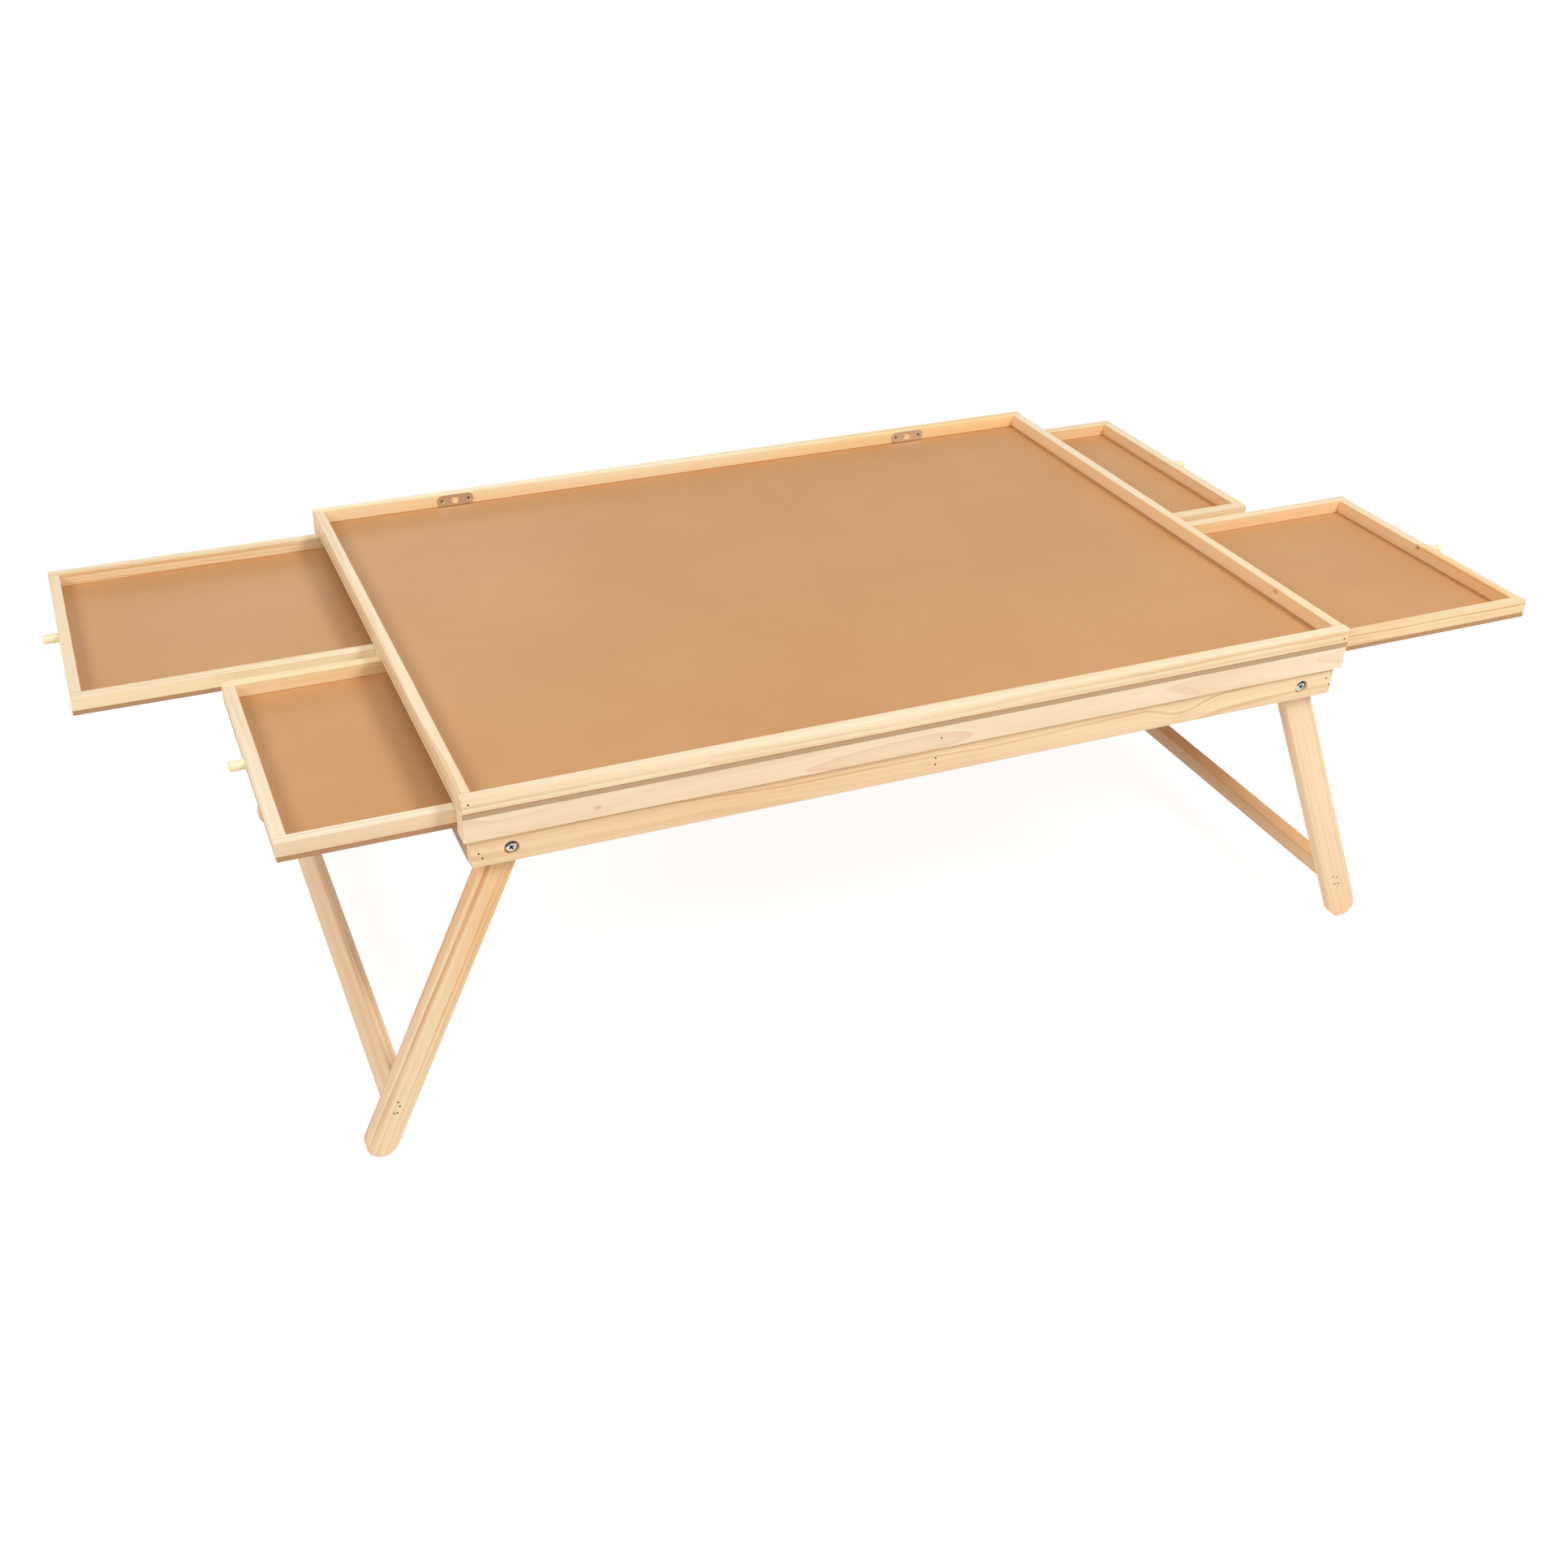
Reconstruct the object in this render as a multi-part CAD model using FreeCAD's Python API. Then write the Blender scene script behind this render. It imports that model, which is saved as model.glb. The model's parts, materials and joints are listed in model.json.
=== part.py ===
import FreeCAD, Part
import math
import os

# Folding jigsaw table in pine: a lipped work surface over four hardboard-bottomed
# drawers, carried by two leg frames that fold flat between the aprons.
# Millimetres. Origin on the floor under the middle of the table, +X along its
# length towards the right-hand drawers, +Y towards the back, +Z up.

# Table outline
table_length = 864.0
table_width = 622.0

# Rim round the work surface, and the hardboard panel it stands on
rim_width = 11.0
rim_height = 14.5
panel_thickness = 4.2

# Lower rails along the front and back, the walls of the drawer slots
lower_rail_width = 20.0
lower_rail_height = 23.0

# Aprons under the lower rails, set back from their outer faces
apron_height = 28.2
apron_thickness = 11.0
apron_setback = 3.5

# Cross rails between the aprons, standing proud between the lower rails to carry the drawers
end_rail_thickness = 13.0
mid_rail_thickness = 28.0
bearer_rise = 3.6

# Dividers between the drawers, and the stop rail behind them
divider_width = 13.0
stop_rail_thickness = 13.0

# Drawers: four walls on a hardboard bottom, and a dowel knob
drawer_wall = 11.0
drawer_board = 4.2
drawer_top_clearance = 1.2
drawer_slide_clearance = 0.3
drawer_side_clearance = 0.9
drawer_stop_clearance = 1.0
knob_diameter = 9.5
knob_reach = 15.0
knob_socket = 6.0
knob_bevel = 1.2

# How far each drawer stands out of the table at rest
front_left_out = 146.5
back_left_out = 278.0
front_right_out = 235.5
back_right_out = 118.5

# Leg frames: flat legs with round ends, joined by one stretcher
leg_width = 29.4
leg_thickness = 15.0
leg_reach = 323.3
leg_splay = 23.5
leg_gap = 0.5
pivot_inset = 40.8
stretcher_height = 29.0
stretcher_thickness = 13.0
stretcher_rise = 43.5
stop_clearance = 0.3
fold_clearance = 0.25

# Pivot bolts, one through each leg, with the head sunk in the apron
bolt_diameter = 6.0
bolt_head_diameter = 11.0
bolt_head_height = 3.6
bolt_head_bevel = 1.5
bolt_head_sink = 1.0
bolt_head_room = 1.25
cross_slot_width = 1.5
cross_slot_length = 5.6
cross_slot_depth = 1.8
washer_diameter = 13.0
washer_thickness = 1.2
nut_across_flats = 10.0
nut_height = 5.0
bolt_tail = 1.5
pivot_clearance = 0.12
seat_clearance = 0.05

# Strike plates on the inner face of the back rim, each held by two screws
plate_spacing = 554.0
plate_length = 40.0
plate_margin = 1.0
plate_thickness = 1.4
plate_end_flat = 2.0
plate_hole = 8.5
screw_inset = 5.0
screw_head_diameter = 5.6
screw_diameter = 2.6
screw_depth = 5.6

# Eased edges
rail_ease = 0.6
rim_ease = 0.9
apron_ease = 1.2
apron_corner = 3.0
leg_ease = 1.8
stretcher_ease = 1.2

# Heights worked up from the floor, where the round feet of the open legs stand.
# The lower rails clear the round tops of the legs, which reach a little way under them.
splay = math.radians(leg_splay)
pivot_z = leg_reach * math.cos(splay) + leg_width / 2
apron_z1 = pivot_z + leg_width / 2 + fold_clearance
bearer_z = apron_z1 + bearer_rise
apron_z0 = apron_z1 - apron_height
panel_z0 = apron_z1 + lower_rail_height
panel_z1 = panel_z0 + panel_thickness
rim_z = panel_z1 + rim_height

# Faces across the width and along the length
half_length = table_length / 2
half_width = table_width / 2
rim_y = half_width - rim_width
inner_y = half_width - lower_rail_width
apron_y = half_width - apron_setback
apron_inner_y = apron_y - apron_thickness
leg_y1 = apron_inner_y - leg_gap
leg_y0 = leg_y1 - leg_thickness
pivot_x = half_length - pivot_inset

# An open leg leans its outer edge on the lower edge of the end rail
leg_edge_x = pivot_x + leg_width / 2 / math.cos(splay) + (pivot_z - apron_z0) * math.tan(splay)
stop_x = leg_edge_x + stop_clearance
apron_x = stop_x + end_rail_thickness

# Drawers fill their slots, less the clearances
drawer_z0 = bearer_z + drawer_slide_clearance
drawer_wall_z0 = drawer_z0 + drawer_board
drawer_z1 = panel_z0 - drawer_top_clearance
drawer_y0 = divider_width / 2 + drawer_side_clearance
drawer_y1 = inner_y - drawer_side_clearance
drawer_length = half_length - stop_rail_thickness / 2 - drawer_stop_clearance

# Bolt seats: the counterbore in the apron, and the washer past the inner face of the leg
counterbore_diameter = bolt_head_diameter + 2 * bolt_head_room
counterbore_depth = bolt_head_height + bolt_head_sink
seat_y = apron_y - counterbore_depth
washer_drop = seat_y - leg_y0 + leg_gap
nut_drop = washer_drop + washer_thickness
bolt_length = nut_drop + nut_height + bolt_tail
bolt_hole = bolt_diameter / 2 + seat_clearance

# Strike plates fill the height of the rim, less a margin above and below
plate_height = rim_height - 2 * plate_margin
plate_corner = (plate_height - plate_end_flat) / 2
plate_z = panel_z1 + rim_height / 2
plate_face_y = rim_y - plate_thickness
plate_places = (-plate_spacing / 2, plate_spacing / 2)
screw_offsets = (screw_inset - plate_length / 2, plate_length / 2 - screw_inset)
screw_places = [plate + offset for plate in plate_places for offset in screw_offsets]

same_place = 1e-4
origin = FreeCAD.Vector(0, 0, 0)
axis_x = FreeCAD.Vector(1, 0, 0)
axis_y = FreeCAD.Vector(0, 1, 0)
axis_z = FreeCAD.Vector(0, 0, 1)


def block(x0, x1, y0, y1, z0, z1):
    """A box between two corners, given in any order."""
    xa, xb = sorted((x0, x1))
    ya, yb = sorted((y0, y1))
    za, zb = sorted((z0, z1))
    return Part.makeBox(xb - xa, yb - ya, zb - za, FreeCAD.Vector(xa, ya, za))


def edges_along(shape, *axes):
    """The straight edges of a shape that run along the given axes."""
    found = []
    for edge in shape.Edges:
        if isinstance(edge.Curve, Part.Line):
            found += [edge for axis in axes if edge.Curve.Direction.cross(axis).Length < same_place]
    return found


def edges_on(shape, y):
    """The edges of a shape that lie in the plane across Y at a given place."""
    found = []
    for edge in shape.Edges:
        if max(abs(edge.BoundBox.YMin - y), abs(edge.BoundBox.YMax - y)) < same_place:
            found.append(edge)
    return found


def eased(shape, size, *axes):
    """Take the sharp corner off the straight edges that run along the given axes."""
    return shape.makeChamfer(size, edges_along(shape, *axes))


def end_eased(cylinder, centre, size):
    """Take the sharp corner off the end of a cylinder, round the given centre."""
    rims = [edge for edge in cylinder.Edges if isinstance(edge.Curve, Part.Circle)]
    rim = min(rims, key=lambda edge: edge.Curve.Center.distanceToPoint(centre))
    return cylinder.makeChamfer(size, [rim])


def rod_y(radius, x, y0, y1, z):
    """A round bar along Y."""
    ya, yb = sorted((y0, y1))
    return Part.makeCylinder(radius, yb - ya, FreeCAD.Vector(x, ya, z), axis_y)


def rod_down(radius, drop, length):
    """A round bar along Z, hanging below the origin by a drop."""
    return Part.makeCylinder(radius, length, FreeCAD.Vector(0, 0, -drop - length))


def save(name, *solids):
    """Write one node: a solid, or a group of like solids."""
    shape = solids[0] if len(solids) == 1 else Part.makeCompound(list(solids))
    shape.exportStep("parts/" + name + ".step")


def upper_frame():
    """The rim: full-length front and back rails with side rails butted between, on the panel."""
    for name, side in (("front", -1), ("back", 1)):
        rail = block(-half_length, half_length, side * half_width, side * rim_y, panel_z1, rim_z)
        rail = eased(rail, rim_ease, axis_x, axis_z)
        if name == "back":
            for x in screw_places:
                rail = rail.cut(plate_screw(x, seat_clearance))
        save(name + "_upper_rail", rail)
    for name, side in (("left", -1), ("right", 1)):
        rail = block(side * half_length, side * (half_length - rim_width), -rim_y, rim_y, panel_z1, rim_z)
        save(name + "_upper_rail", eased(rail, rim_ease, axis_y))
    save("work_panel", block(-half_length, half_length, -half_width, half_width, panel_z0, panel_z1))


def lower_frame():
    """Lower rails, the dividers between the drawers and the stop rail behind them."""
    for name, side in (("front", -1), ("back", 1)):
        rail = block(-half_length, half_length, side * half_width, side * inner_y, apron_z1, panel_z0)
        save(name + "_lower_rail", eased(rail, rail_ease, axis_x, axis_z))
    half_stop = stop_rail_thickness / 2
    half_divider = divider_width / 2
    save("stop_rail", block(-half_stop, half_stop, -inner_y, inner_y, bearer_z, panel_z0))
    for name, side in (("left", -1), ("right", 1)):
        ends = (side * half_stop, side * half_length)
        divider = block(*ends, -half_divider, half_divider, bearer_z, panel_z0)
        save(name + "_divider", eased(divider, rail_ease, axis_x))


def cross_rail(x0, x1):
    """A rail between the aprons, shouldered so that its top stands proud between the lower rails."""
    rail = block(x0, x1, -apron_inner_y, apron_inner_y, apron_z0, apron_z1)
    rail = rail.fuse(block(x0, x1, -inner_y, inner_y, apron_z1, bearer_z)).removeSplitter()
    corners = [edge for edge in edges_along(rail, axis_y) if abs(edge.CenterOfMass.z - apron_z1) > same_place]
    return rail.makeChamfer(rail_ease, corners)


def base_frame():
    """Aprons bored for the pivot bolts, and the cross rails between them."""
    for name, side in (("front", -1), ("back", 1)):
        apron = block(-apron_x, apron_x, side * apron_y, side * apron_inner_y, apron_z0, apron_z1)
        lower = [edge for edge in edges_along(apron, axis_y) if edge.CenterOfMass.z < pivot_z]
        apron = apron.makeFillet(apron_corner, lower)
        front = edges_on(apron, side * apron_y)
        outline = [edge for edge in front if edge.BoundBox.ZMin < apron_z1 - same_place]
        apron = apron.makeChamfer(apron_ease, outline)
        for x in (-pivot_x, pivot_x):
            apron = apron.cut(rod_y(counterbore_diameter / 2, x, side * apron_y, side * seat_y, pivot_z))
            apron = apron.cut(rod_y(bolt_hole, x, side * seat_y, side * apron_inner_y, pivot_z))
        save(name + "_apron", apron)
    for name, side in (("left", -1), ("right", 1)):
        save(name + "_end_rail", cross_rail(side * stop_x, side * apron_x))
    save("mid_rail", cross_rail(-mid_rail_thickness / 2, mid_rail_thickness / 2))


def leg(side, y0, y1):
    """A flat leg with round ends, leaning outwards on one side of the table."""
    radius = leg_width / 2
    along = FreeCAD.Vector(side * math.sin(splay), 0, -math.cos(splay))
    across = FreeCAD.Vector(math.cos(splay), 0, side * math.sin(splay))
    pivot = FreeCAD.Vector(side * pivot_x, y0, pivot_z)
    foot = pivot + along * leg_reach
    outline = Part.Wire([
        Part.Arc(pivot - across * radius, pivot - along * radius, pivot + across * radius).toShape(),
        Part.LineSegment(pivot + across * radius, foot + across * radius).toShape(),
        Part.Arc(foot + across * radius, foot + along * radius, foot - across * radius).toShape(),
        Part.LineSegment(foot - across * radius, pivot - across * radius).toShape(),
    ])
    blank = Part.Face(outline).extrude(axis_y * (y1 - y0))
    blank = blank.makeChamfer(leg_ease, edges_on(blank, y0) + edges_on(blank, y1))
    return blank.cut(rod_y(bolt_diameter / 2 + pivot_clearance, side * pivot_x, y0, y1, pivot_z))


def leg_frame(name, side):
    """Two legs and the stretcher between them, near their feet."""
    save(name + "_front_leg", leg(side, -leg_y1, -leg_y0))
    save(name + "_back_leg", leg(side, leg_y0, leg_y1))
    half_height = stretcher_height / 2
    half_thick = stretcher_thickness / 2
    drop = leg_reach - stretcher_rise
    bar = block(-half_thick, half_thick, -leg_y0, leg_y0, -half_height, half_height)
    bar = eased(bar, stretcher_ease, axis_y)
    bar.rotate(origin, axis_y, -side * leg_splay)
    x = side * (pivot_x + drop * math.sin(splay))
    bar.translate(FreeCAD.Vector(x, 0, pivot_z - drop * math.cos(splay)))
    save(name + "_stretcher", bar)


def pivot_bolt():
    """A pan-head bolt along Z, its head standing on the origin, with a cross slot."""
    crown = FreeCAD.Vector(0, 0, bolt_head_height)
    head = end_eased(Part.makeCylinder(bolt_head_diameter / 2, bolt_head_height), crown, bolt_head_bevel)
    slot_z = bolt_head_height - cross_slot_depth
    half_slot = cross_slot_width / 2
    half_reach = cross_slot_length / 2
    head = head.cut(block(-half_reach, half_reach, -half_slot, half_slot, slot_z, bolt_head_height))
    head = head.cut(block(-half_slot, half_slot, -half_reach, half_reach, slot_z, bolt_head_height))
    return head.fuse(rod_down(bolt_diameter / 2, 0, bolt_length)).removeSplitter()


def pivot_washer():
    """A flat washer on the bolt, past the inner face of the leg."""
    ring = rod_down(washer_diameter / 2, washer_drop, washer_thickness)
    return ring.cut(rod_down(bolt_hole, washer_drop, washer_thickness))


def pivot_nut():
    """A hexagon nut on the bolt, against the washer."""
    corner = nut_across_flats / 2 / math.cos(math.pi / 6)
    low = -nut_drop - nut_height
    turns = [step * math.pi / 3 for step in range(7)]
    corners = [FreeCAD.Vector(corner * math.cos(turn), corner * math.sin(turn), low) for turn in turns]
    nut = Part.Face(Part.makePolygon(corners)).extrude(axis_z * nut_height)
    return nut.cut(rod_down(bolt_hole, nut_drop, nut_height))


def pivots():
    """One bolt, washer and nut through each apron and leg, heads outwards."""
    for name, make in (("bolts", pivot_bolt), ("washers", pivot_washer), ("nuts", pivot_nut)):
        group = []
        for side in (-1, 1):
            for x in (-pivot_x, pivot_x):
                piece = make()
                piece.rotate(origin, axis_x, -90 * side)
                piece.translate(FreeCAD.Vector(x, side * seat_y, pivot_z))
                group.append(piece)
        save("pivot_" + name, *group)


def plate_screw(x, clearance):
    """A countersunk screw, its head flush with the strike plate's face."""
    shank_radius = screw_diameter / 2 + clearance
    head_radius = screw_head_diameter / 2 + clearance
    centre = FreeCAD.Vector(x, plate_face_y, plate_z)
    head = Part.makeCone(head_radius, shank_radius, plate_thickness, centre, axis_y)
    return head.fuse(rod_y(shank_radius, x, rim_y, rim_y + screw_depth + clearance, plate_z))


def strike_plates():
    """Round-cornered plates with a middle hole, screwed to the back rim."""
    plates = []
    for x in plate_places:
        half = plate_length / 2
        low = plate_z - plate_height / 2
        plate = block(x - half, x + half, plate_face_y, rim_y, low, low + plate_height)
        plate = plate.makeFillet(plate_corner, edges_along(plate, axis_y))
        plate = plate.cut(rod_y(plate_hole / 2, x, plate_face_y, rim_y, plate_z))
        for offset in screw_offsets:
            plate = plate.cut(plate_screw(x + offset, seat_clearance))
        plates.append(plate)
    save("strike_plates", *plates)
    save("strike_plate_screws", *[plate_screw(x, 0) for x in screw_places])


def drawer(name, side_x, side_y, out):
    """A tray with full-length sides, ends between them and a knob on the outer one, drawn out along X."""
    outer = side_x * (half_length + out)
    inner = outer - side_x * drawer_length
    outer_wall = outer - side_x * drawer_wall
    inner_wall = inner + side_x * drawer_wall
    front, back = sorted((side_y * drawer_y0, side_y * drawer_y1))
    front_wall = front + drawer_wall
    back_wall = back - drawer_wall

    knob_z = (drawer_wall_z0 + drawer_z1) / 2
    socket = FreeCAD.Vector(outer - side_x * knob_socket, (front + back) / 2, knob_z)
    outwards = axis_x * side_x
    knob = Part.makeCylinder(knob_diameter / 2, knob_socket + knob_reach, socket, outwards)
    save(name + "_knob", end_eased(knob, socket + outwards * (knob_socket + knob_reach), knob_bevel))

    face = block(outer, outer_wall, front_wall, back_wall, drawer_wall_z0, drawer_z1)
    face = eased(face, rail_ease, axis_y)
    hole = Part.makeCylinder(knob_diameter / 2 + seat_clearance, knob_socket, socket, outwards)
    save(name + "_face", face.cut(hole))
    end = block(inner, inner_wall, front_wall, back_wall, drawer_wall_z0, drawer_z1)
    save(name + "_back", eased(end, rail_ease, axis_y))
    for wall, y0, y1 in (("front_side", front, front_wall), ("back_side", back_wall, back)):
        side = block(outer, inner, y0, y1, drawer_wall_z0, drawer_z1)
        save(name + "_" + wall, eased(side, rail_ease, axis_x))
    save(name + "_bottom", block(outer, inner, front, back, drawer_z0, drawer_wall_z0))


os.makedirs("parts", exist_ok=True)
upper_frame()
lower_frame()
base_frame()
leg_frame("left", -1)
leg_frame("right", 1)
pivots()
strike_plates()
drawer("front_left_drawer", -1, -1, front_left_out)
drawer("back_left_drawer", -1, 1, back_left_out)
drawer("front_right_drawer", 1, -1, front_right_out)
drawer("back_right_drawer", 1, 1, back_right_out)
print("rim", round(rim_z, 3), "above the floor; pivots at x", round(pivot_x, 3), "z", round(pivot_z, 3))
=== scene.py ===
import json
import math
import random

import bmesh
import bpy
from mathutils import Euler, Matrix, Vector


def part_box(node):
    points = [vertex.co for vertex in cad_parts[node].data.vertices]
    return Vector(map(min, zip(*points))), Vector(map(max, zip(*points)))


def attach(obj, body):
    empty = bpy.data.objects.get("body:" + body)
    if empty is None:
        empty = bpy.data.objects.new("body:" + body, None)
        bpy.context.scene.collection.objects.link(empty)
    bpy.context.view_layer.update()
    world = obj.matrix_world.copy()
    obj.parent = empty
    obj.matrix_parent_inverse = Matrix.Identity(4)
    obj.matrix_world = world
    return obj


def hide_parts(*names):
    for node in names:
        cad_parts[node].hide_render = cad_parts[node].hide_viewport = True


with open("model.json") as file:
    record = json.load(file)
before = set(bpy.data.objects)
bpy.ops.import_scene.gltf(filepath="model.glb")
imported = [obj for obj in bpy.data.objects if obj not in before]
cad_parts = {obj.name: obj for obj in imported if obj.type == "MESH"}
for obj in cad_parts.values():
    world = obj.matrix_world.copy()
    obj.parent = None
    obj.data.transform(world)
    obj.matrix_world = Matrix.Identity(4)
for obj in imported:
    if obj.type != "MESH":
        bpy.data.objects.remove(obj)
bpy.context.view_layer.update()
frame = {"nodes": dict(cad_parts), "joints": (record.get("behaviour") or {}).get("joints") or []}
nodes = frame["nodes"]


# Small tools for shader nodes

def shade(red, green, blue):
    # a screen colour, 0 to 255, as the linear colour that a shader takes
    parts = [value / 255 for value in (red, green, blue)]
    return [p / 12.92 if p <= 0.04045 else ((p + 0.055) / 1.055) ** 2.4 for p in parts] + [1.0]


def addNode(tree, kind, inputs=None, **props):
    node = tree.nodes.new(kind)
    for prop, value in props.items():
        setattr(node, prop, value)
    for socket, value in (inputs or {}).items():
        if isinstance(value, bpy.types.NodeSocket):
            tree.links.new(value, node.inputs[socket])
        else:
            node.inputs[socket].default_value = value
    return node


def sums(tree, operation, *values):
    return addNode(tree, "ShaderNodeMath", dict(enumerate(values)), operation=operation).outputs[0]


def vectorNode(tree, operation, *values):
    return addNode(tree, "ShaderNodeVectorMath", dict(enumerate(values)), operation=operation).outputs


def vectors(tree, operation, *values):
    return vectorNode(tree, operation, *values)[0]


def lengthOf(tree, vector):
    return vectorNode(tree, "LENGTH", vector)["Value"]


def dotOf(tree, first, second):
    return vectorNode(tree, "DOT_PRODUCT", first, second)["Value"]


def scaled(tree, vector, factor):
    values = {0: vector, "Scale": factor}
    return addNode(tree, "ShaderNodeVectorMath", values, operation="SCALE").outputs[0]


def ramp(tree, value, low, high, toLow=0.0, toHigh=1.0):
    # a smooth step from toLow to toHigh while the value goes from low to high
    ends = {"Value": value, "From Min": low, "From Max": high, "To Min": toLow, "To Max": toHigh}
    return addNode(tree, "ShaderNodeMapRange", ends, interpolation_type="SMOOTHSTEP").outputs[0]


def noiseAt(tree, place, waves, seed=0.0, detail=2.0):
    # noise with its own number of waves per metre along each axis
    spread = vectors(tree, "MULTIPLY", place, waves)
    values = {"Vector": spread, "W": seed, "Scale": 1.0, "Detail": detail, "Roughness": 0.55}
    return addNode(tree, "ShaderNodeTexNoise", values, noise_dimensions="4D").outputs


def mixed(tree, share, first, second):
    values = {0: share, 6: first, 7: second}
    return addNode(tree, "ShaderNodeMix", values, data_type="RGBA").outputs[2]


def bumpOf(tree, height, strength, depth):
    values = {"Height": height, "Strength": strength, "Distance": depth}
    return addNode(tree, "ShaderNodeBump", values).outputs[0]


def newMaterial(name):
    material = bpy.data.materials.new(name)
    material.use_nodes = True
    return material, material.node_tree, material.node_tree.nodes["Principled BSDF"]


def setShader(tree, shader, **values):
    # socket names are written as one word, and matched without their blanks
    for socket in shader.inputs:
        value = values.get(socket.name.replace(" ", ""))
        if isinstance(value, bpy.types.NodeSocket):
            tree.links.new(value, socket)
        elif value is not None:
            socket.default_value = value


def paint(name, material):
    for slot in nodes[name].material_slots:
        slot.material = material


# Pine: growth rings round a pith line, so the grain runs true over every face

pineKinds = {
    "Place": "NodeSocketVector", "Facing": "NodeSocketVector", "Pith": "NodeSocketVector",
    "Ring": "NodeSocketFloat", "Sway": "NodeSocketFloat", "Bold": "NodeSocketFloat",
    "Seed": "NodeSocketFloat", "Splice": "NodeSocketFloat", "Pale": "NodeSocketColor",
    "Warm": "NodeSocketColor", "Late": "NodeSocketColor", "KnotPlace": "NodeSocketVector",
    "KnotSize": "NodeSocketFloat", "KnotBold": "NodeSocketFloat", "Slow": "NodeSocketFloat",
    # the last vector sets the painted shading on one face of a board
    "Drift": "NodeSocketFloat", "Flank": "NodeSocketVector",
}
pineParts = {"Colour": "NodeSocketColor", "Roughness": "NodeSocketFloat", "Height": "NodeSocketFloat"}
pineDetail = {                # waves per metre along and across the grain, lengths in metres
    "swayWaves": (1.8, 10.0, 10.0), "rippleWaves": (7.0, 70.0, 70.0), "fadeWaves": (4.0, 50.0, 50.0),
    "toneWaves": (2.0, 28.0, 28.0), "fibreWaves": (18.0, 800.0, 800.0),
    "fleckWaves": (60.0, 1500.0, 1500.0), "fibreDetail": 3.0, "fleckDetail": 1.0,
    "toothPitch": 0.004, "toothDepth": 0.005, "nextTimber": 7.3, "glueLine": 0.0004, "glueShare": 0.4,
    "slowHalf": 0.0025, "slowRings": 3.0,
    "ringPace": 0.5, "ringUneven": 1.5, "ringRipple": 0.6,                # in rings
    "lateStart": 0.15, "lateFull": 0.86, "lateStop": 0.90,                # across one ring
    "luckPower": 1.7, "luckSpan": 0.9, "luckLeast": 0.1, "fadeLeast": 0.25,
    "knotStretch": (0.6, 1.0, 1.0), "swirlReach": 6.0, "swirlPush": 1.2,  # in knot sizes
    "rimRange": (1.8, 0.9), "heartRange": (0.9, 0.3), "knotRagged": 0.5,
    "knotRim": shade(190, 132, 78), "knotHeart": shade(128, 82, 46),
    "fadeRange": (0.3, 0.65), "toneRange": (0.32, 0.68), "fleckRange": (0.70, 0.82),
    # edgeRange and edgeShare set the painted highlight on eased edges
    "fibreRange": (0.45, 0.75), "endRange": (0.75, 0.97), "edgeRange": (0.97, 0.80),
    "fibreShare": 0.14, "fleckShare": 0.18, "endShare": 0.22, "edgeShare": 0.35,
    "rimShare": 0.6, "heartShare": 0.8,
    "rough": 0.40, "fibreRough": 0.18, "lateRough": -0.07, "endRough": 0.15,
    "lateHeight": 0.35, "fibreHeight": 0.65,
}


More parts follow.
